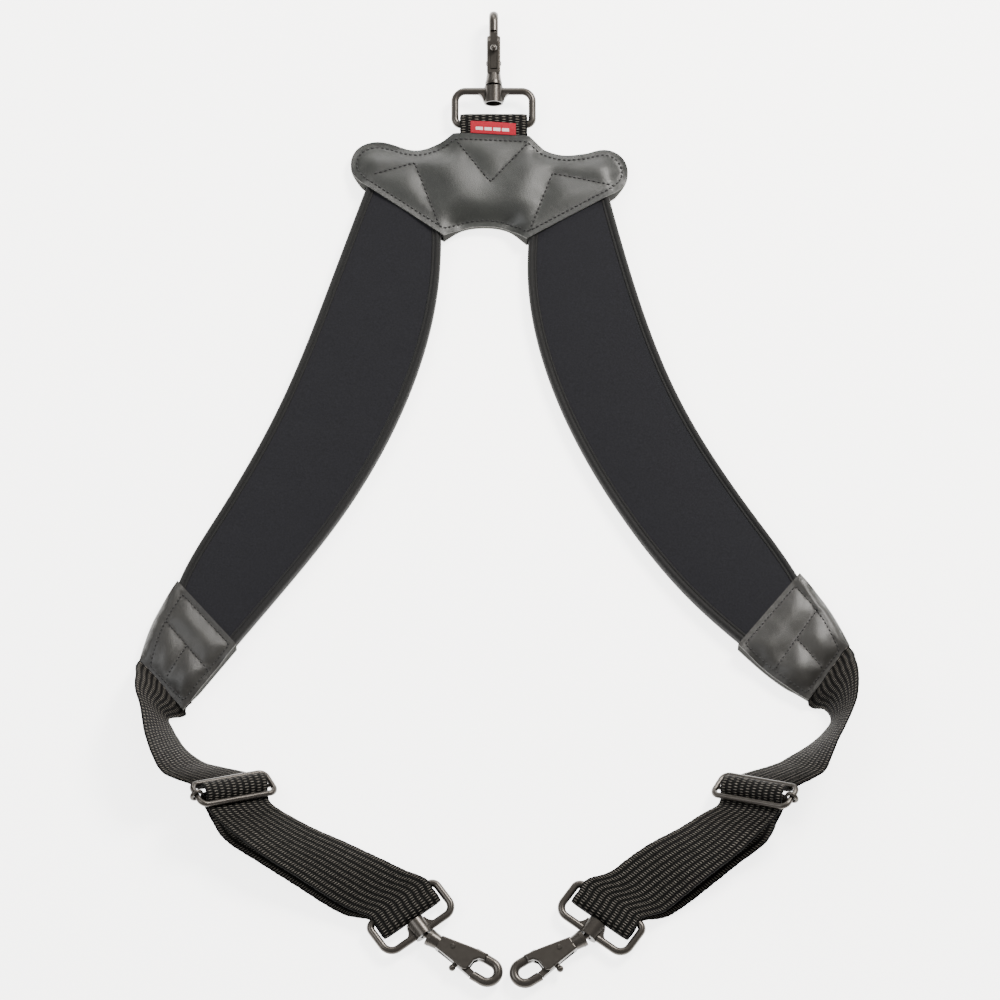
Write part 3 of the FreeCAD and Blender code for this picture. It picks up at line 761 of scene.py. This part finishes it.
# ------------------------------------------------------------------ build: yoke
def build_yoke():
    left_ear = spline([(-25.5, 211), (-36, 205), (-47, 201.8), (-58, 205), (-69, 207.2), (-80, 202.5),
                       (-83.2, 191), (-77, 180.5)])
    right_ear = spline([(17.5, 209), (27, 201.5), (38, 197.8), (50, 200), (61, 202.3), (70.5, 197),
                        (72.6, 184), (66, 174.5)])
    arch = spline([(-30.5, 148), (-20, 153.4), (-7.6, 155.2), (5.5, 152.9), (16, 146)])
    outline = loop(left_ear, straight((-77, 180.5), (-30.5, 148)), arch,
                   straight((16, 146), (66, 174.5)), right_ear[::-1], straight((17.5, 209), (-25.5, 211)))
    outline = ccw(outline)
    border_gap = 3.4
    border = inset(outline, border_gap)
    seams = [polyline([(-23.5, 206.3), (-4.5, 180.8), (16.5, 204.5)]),
             polyline([(-70.4, 185.6), (-47.2, 192.7), (-33.0, 153.8)]),
             polyline([(66.1, 178.5), (30.6, 186.1), (17.5, 150.3)])]
    web = np.array([(-21.6, 186), (16.4, 186), (16.4, 212), (-21.6, 212)], float)
    middle = np.array([(-52, 168), (38, 166), (44, 192), (-60, 192)], float)

    def rise(xy):
        return smoothstep(outside(xy, [PADS["left"], PADS["right"], web, middle]) / 12)

    def back_height(xy):
        return LINING + 2.6 * rise(xy)

    def height(xy):
        z = 10.4 - 4.6 * rise(xy)
        near = distance(xy, border, closed=True)
        for seam in seams:
            near = np.minimum(near, distance(xy, seam))
        edge = distance(xy, outline, closed=True)
        crown = 2.2 * (1 - np.exp(-(near / 9) ** 2)) * (edge > border_gap)
        return z - 0.5 * np.exp(-(near / 1.0) ** 2) + crown

    def under(xy, upper):
        free = (outside(xy, [web]) > 1.5) & (outside(xy, [PADS["left"], PADS["right"]]) > 0.3)
        return closed_edge(xy, upper, outline, back_height(xy), free)

    border_path = np.vstack([border, border[:1]])
    top = panel("yoke_top", outline, seams + [border_path], height, under, ["yoke", "edge", "fold"],
                puff={"pressure": 5.0, "slack": 0.003, "cap": 0.0016, "rounds": 14})
    on(top, HARNESS, ["yoke_top_panel", "yoke_padding"])

    back = panel("yoke_back", outline, [], back_height, lining_under, ["yoke", "edge", "fold"], step=3.0)
    on(back, HARNESS, ["yoke_back_panel"])
    thread = stitches("yoke_stitches", [border] + seams, surface_of(top), closed=(0,))
    on(thread, HARNESS)


build_yoke()


# ------------------------------------------------------------------ build: end caps
def build_cap(name, side, outer_points, inner_points, cross, centre, outer_inset=6.8):
    outer, inner = spline(outer_points), spline(inner_points)
    end = np.array([outer[-1], inner[-1]])
    outline = loop(outer, straight(outer[-1], inner[-1]), inner[::-1], straight(inner[0], outer[0]))
    outline = ccw(outline)
    near_edge = inset(outline, 2.9)
    near_edge = near_edge[distance(near_edge, outer) > outer_inset]
    ridge_row = inset_line(outer, side, outer_inset)
    ridge_row = ridge_row[inside(ridge_row, outline) & (distance(ridge_row, outline, closed=True) > 2.85)]
    border = np.vstack([near_edge, ridge_row])
    middle = border.mean(0)
    border = border[np.argsort(np.arctan2(border[:, 1] - middle[1], border[:, 0] - middle[0]))]
    border_path = np.vstack([border, border[:1]])
    seams = [polyline(cross), polyline(centre)]
    support = PADS[name]

    def rise(xy):
        return smoothstep(outside(xy, [support]) / 10)

    def height(xy):
        away = distance(xy, outer)
        edge = distance(xy, outline, closed=True)
        entry = distance(xy, np.array([outer[0], inner[0]]))
        drop = (1 - smoothstep(edge / 6)) * smoothstep((entry - 4) / 14)
        z = 10.3 - 1.6 * rise(xy) - 2.6 * drop
        near = distance(xy, border_path)
        for seam in seams:
            near = np.minimum(near, distance(xy, seam))
        within = inside(xy, border)
        ridge = np.where(within, 0, 1.9 * np.sin(np.clip(away / outer_inset, 0, 1) * math.pi))
        ridge *= (edge - away > -0.3) * (away < outer_inset)
        return z - 0.45 * np.exp(-(near / 1.0) ** 2) + within * 1.5 * (1 - np.exp(-(near / 6) ** 2)) + ridge

    def back_height(xy):
        return LINING + 2.9 * rise(xy)

    def under(xy, upper):
        free = (distance(xy, end) > 1.5) & (outside(xy, [support]) > 0.3)
        return closed_edge(xy, upper, outline, back_height(xy), free)

    top = panel(name + "_cap_panel", outline, seams + [border_path], height, under, ["cap", "edge", "fold"],
                puff={"pressure": 7.0, "slack": 0.004, "cap": 0.0018, "rounds": 8}, step=1.5)
    on(top, HARNESS, [name + "_cap_top"])

    back = panel(name + "_cap_lining", outline, [], back_height, lining_under, ["cap", "edge", "fold"],
                 step=3.0)
    on(back, HARNESS, [name + "_cap_back"])
    thread = stitches(name + "_cap_stitches", [border] + seams, surface_of(top), pitch=2.4, long=1.7,
                      radius=0.34, closed=(0,))
    on(thread, HARNESS)


build_cap("left", 1, [(-176.5, -59), (-190, -82.5), (-197, -105)],
          [(-143.5, -96), (-158, -114.5), (-172, -132.5)],
          [(-182.5, -82.0), (-158.8, -111.0)], [(-170.6, -96.6), (-181.5, -114.3)])
build_cap("right", -1, [(166, -54.5), (182, -74.5), (193, -95.5)],
          [(131.5, -96), (150, -113.5), (169.5, -127)],
          [(175.8, -75.0), (151.6, -110.2)], [(163.7, -92.6), (177.8, -109.3)])


# ------------------------------------------------------------------ build: straps
LEFT_FIXED = [station(-180.3, -114.6, 5.2, 133, 0), station(-182.4, -115.8, 5.2, 133, 0),
              station(-184.3, -119.3, 6.0, 135, 6), station(-184.8, -126.4, 12.3, 146, 37),
              station(-188.4, -133.5, 18.1, 160, 62), station(-186.0, -141.5, 18.6, 178, 66),
              station(-183.2, -151.2, 18.1, 202, 62), station(-178.6, -160.8, 17.3, 213, 56),
              station(-171.6, -168.4, 15.7, 211, 47), station(-163.5, -171.6, 14.8, 206, 38)]
LEFT_UPPER = [station(-130.5, -199.3, 14.0, 203, 24), station(-113.2, -210.6, 12.4, 213, 22),
              station(-95.2, -219.8, 10.6, 218, 15), station(-78.0, -229.4, 9.2, 218, 6),
              station(-66.0, -236.0, 8.5, 217, 0)]
LEFT_LOWER = [station(-67.5, -237.8, 2.2, 217, 0), station(-80.0, -230.8, 2.0, 218, 0),
              station(-96.0, -220.4, 2.6, 217, 0), station(-114.0, -210.8, 4.6, 213, 9),
              station(-131.5, -202.0, 7.4, 205, 15)]
front_straps("left", LEFT_FIXED, Slider((-143.5, -181.5, 16.6), 200, 26, -70, 20), LEFT_UPPER, LEFT_LOWER,
             (-52.6, -243.2, 5.4), -54)
RIGHT_FIXED = [station(177.4, -108.0, 5.2, 53, 0), station(179.5, -109.2, 5.2, 53, 0),
               station(181.4, -112.4, 6.0, 51, 6), station(183.2, -119.5, 12.0, 42, 34),
               station(187.2, -127.0, 17.6, 26, 60), station(188.2, -137.0, 19.4, 6, 71),
               station(183.0, -147.5, 19.1, -20, 70), station(176.6, -156.0, 18.3, -31, 64),
               station(170.0, -163.8, 16.8, -33, 53), station(163.0, -169.8, 15.6, -27, 42)]
RIGHT_UPPER = [station(126.5, -199.8, 13.8, -23, 21), station(114.0, -209.8, 12.0, -33, 18),
               station(98.2, -220.2, 10.2, -38, 12), station(85.4, -229.6, 9.0, -38, 5),
               station(75.0, -237.5, 8.5, -37, 0)]
RIGHT_LOWER = [station(76.0, -238.8, 2.2, -37, 0), station(88.0, -231.0, 2.0, -38, 0),
               station(101.0, -220.8, 2.6, -37, 0), station(115.0, -211.0, 4.6, -34, 8),
               station(129.0, -203.0, 7.4, -25, 15)]
front_straps("right", RIGHT_FIXED, Slider((139.2, -182.8, 16.6), -20, 26, -110, 20), RIGHT_UPPER, RIGHT_LOWER,
             (61.2, -243.8, 5.4), 234)


def build_back_strap():
    tilt = math.radians(6.7)
    bar = np.array([-2.6, 217.7, 6.2])
    ahead = np.array([0, math.cos(tilt), math.sin(tilt)])
    normal = np.array([0, -math.sin(tilt), math.cos(tilt)])
    across = np.array([-1.0, 0, 0])
    upper = [np.array([-2.6, 192, 6.9]), np.array([-2.6, 203, 6.9]), np.array([-2.6, 207.5, 7.3])]
    lower = [np.array([-2.6, 207.5, 4.6]), np.array([-2.6, 203, 5.2]), np.array([-2.6, 192, 5.2])]
    slack, radius = 2.5, FOLD_RADIUS
    path = upper + [bar - ahead * slack + normal * radius, bar + normal * radius]
    for degrees in (90, 60, 30, 0, -30, -60, -90):
        a = math.radians(degrees)
        path.append(bar + ahead * (slack + radius * math.cos(a)) + normal * radius * math.sin(a))
    path += [bar - normal * radius, bar - ahead * slack - normal * radius] + lower
    made = strap("back_strap", [(p, across) for p in path])
    on(made, HARNESS, ["back_web_loop"])


def build_tag():
    """Folded label with a plain pattern of bars, tucked under the yoke's edge."""
    columns, rows = 26, 8
    vertices, faces, index = [], [], []
    for layer in (1, 0):
        for j in range(rows + 1):
            for i in range(columns + 1):
                x = -15.6 + 25.6 * i / columns
                y = 210.0 + 7.4 * j / rows
                bend = 0.25 * math.sin(i / columns * 5.0) * (j / rows)
                z = 10.35 + 0.9 * j / rows - 1.1 * (j / rows) ** 3 + bend + 0.5 * layer
                vertices.append((x, y - 0.06 * (x + 2.8), z))
    n = (columns + 1) * (rows + 1)
    for j in range(rows):
        for i in range(columns):
            a = j * (columns + 1) + i
            quad = [a, a + 1, a + columns + 2, a + columns + 1]
            faces.append(quad)
            index.append(1 if j in (2, 3) and 3 <= i <= 22 and i % 5 != 2 else 0)
            faces.append([q + n for q in quad[::-1]])
            index.append(0)
    upper = [f for f in faces if f[0] < n]
    for a, b in boundary(upper):
        faces.append((b, a, a + n, b + n))
        index.append(0)
    made = new_object("tag", row(vertices), faces, ["tag", "tag_white"], material_index=index)
    made.data.set_sharp_from_angle(angle=math.radians(40))
    on(made, HARNESS, ["woven_tag"])


build_back_strap()
build_tag()

# ------------------------------------------------------------------ hardware keeps its CAD shape
for name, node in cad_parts.items():
    if node.hide_render:
        continue
    node.data.materials.clear()
    node.data.materials.append(LOOK["spring" if name.endswith("gate_spring") else "gunmetal"])
    node.data.polygons.foreach_set("material_index", [0] * len(node.data.polygons))
    node.data.polygons.foreach_set("use_smooth", [True] * len(node.data.polygons))
    node.data.set_sharp_from_angle(angle=math.radians(32))
    node.data.update()


# ------------------------------------------------------------------ floor, light, camera
def build_stage():
    floor = new_object("floor", [(-4, -4, -0.0002), (4, -4, -0.0002), (4, 4, -0.0002), (-4, 4, -0.0002)],
                       [(0, 1, 2, 3)], [])
    white = Nodes("floor_white")
    white.set(Base_Color=(0.90, 0.885, 0.86, 1), Roughness=0.9, Specular_IOR_Level=0.2,
              Emission_Color=(1.0, 0.995, 0.985, 1), Emission_Strength=FLOOR_GLOW)
    floor.data.materials.append(white.material)
    world = bpy.data.worlds.new("studio")
    scene.world = world
    world.use_nodes = True
    world.node_tree.nodes["Background"].inputs["Color"].default_value = (1.0, 0.99, 0.97, 1)
    world.node_tree.nodes["Background"].inputs["Strength"].default_value = 0.7
    for name, at, size, power, colour in (
            ("key", (0.85, 0.95, 1.35), 0.55, 68.0, (1.0, 0.97, 0.93)),
            ("fill", (-1.1, -0.1, 1.4), 0.9, 18.0, (0.96, 0.98, 1.0)),
            ("back", (-0.1, 1.7, 0.9), 0.8, 22.0, (1.0, 0.99, 0.97))):
        light = bpy.data.lights.new(name, "AREA")
        light.size = size
        light.energy = power
        light.color = colour
        lamp = bpy.data.objects.new(name, light)
        lamp.location = at
        lamp.rotation_euler = (-Vector(at)).to_track_quat("-Z", "Y").to_euler()
        scene.collection.objects.link(lamp)
    data = bpy.data.cameras.new("camera")
    data.sensor_width = 36
    data.lens = LENS_MM
    data.clip_start = 0.1
    data.clip_end = 50
    camera = bpy.data.objects.new("camera", data)
    target = Vector(CAMERA_TARGET)
    tilt = math.radians(CAMERA_ELEVATION)
    camera.location = target + Vector((0, -math.cos(tilt), math.sin(tilt))) * CAMERA_DISTANCE
    camera.rotation_euler = (target - camera.location).to_track_quat("-Z", "Y").to_euler()
    scene.collection.objects.link(camera)
    scene.camera = camera


build_stage()
